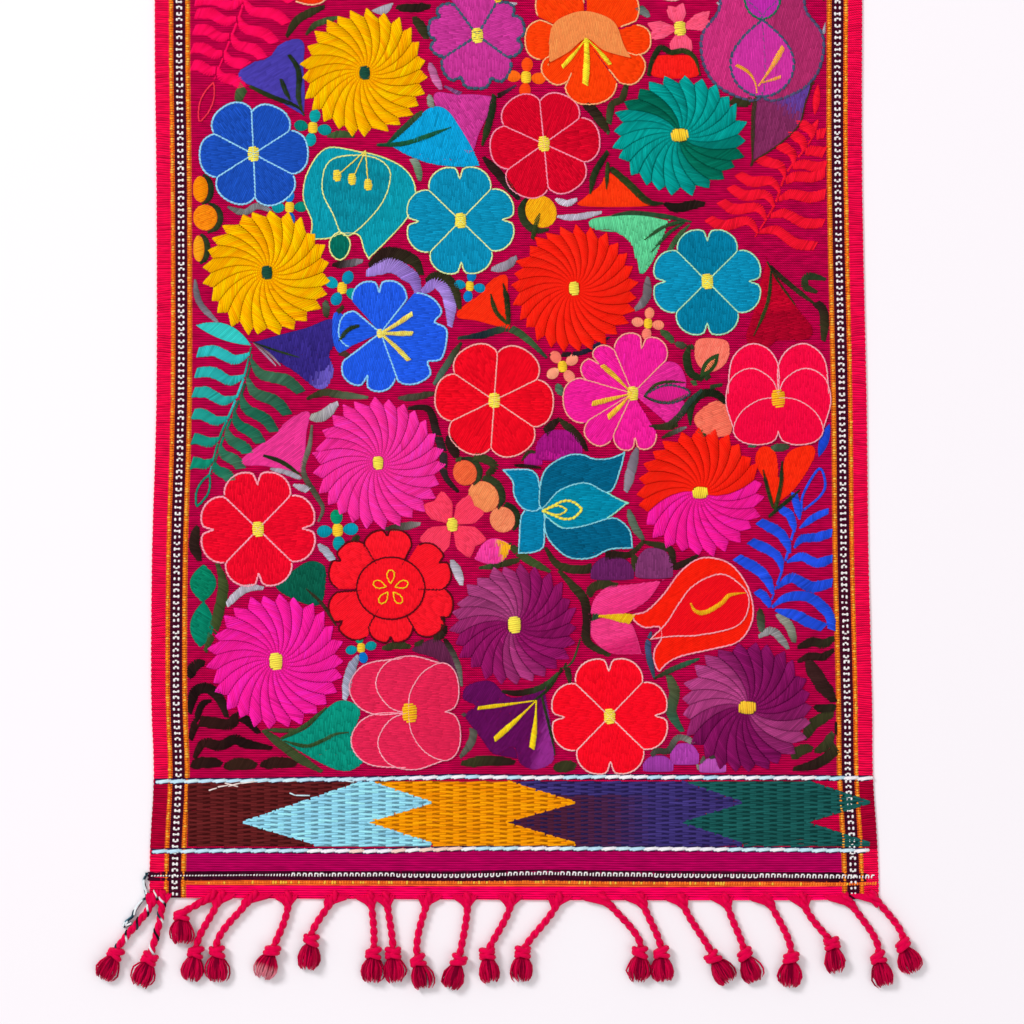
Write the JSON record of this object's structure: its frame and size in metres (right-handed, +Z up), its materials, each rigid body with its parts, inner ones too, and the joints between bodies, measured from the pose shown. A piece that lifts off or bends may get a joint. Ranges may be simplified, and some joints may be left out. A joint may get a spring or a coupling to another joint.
{
  "type": "embroidered table runner",
  "caption": "Long flat embroidered cotton table runner with woven side borders and a fringe of twisted knotted cords along both ends.",
  "frame": {"origin": "middle of the cloth's underside, on the surface that it lies on", "axes": "+Y along the runner's length, +X across it, +Z up out of the embroidered face"},
  "size_m": [0.4644, 1.3999, 0.0082],
  "materials": {
    "woven_cloth": "hand-woven cotton in magenta, with rose, orange, black and white warp stripes along the sides",
    "fringe_cotton": "twisted rose-red cotton cord with a soft sheen",
    "flower_thread": "pearl cotton embroidery in many colours, satin-stitched, with a soft lustre",
    "band_weft": "thick coloured cotton weft floats in a stepped band, and twined pale cords",
    "border_thread": "white and dark cotton pick-up threads along the border stripes"
  },
  "bodies": {
    "root": {"runner_cloth": "woven_cloth", "fringe_near": "fringe_cotton", "fringe_far": "fringe_cotton"}
  },
  "joints": []
}
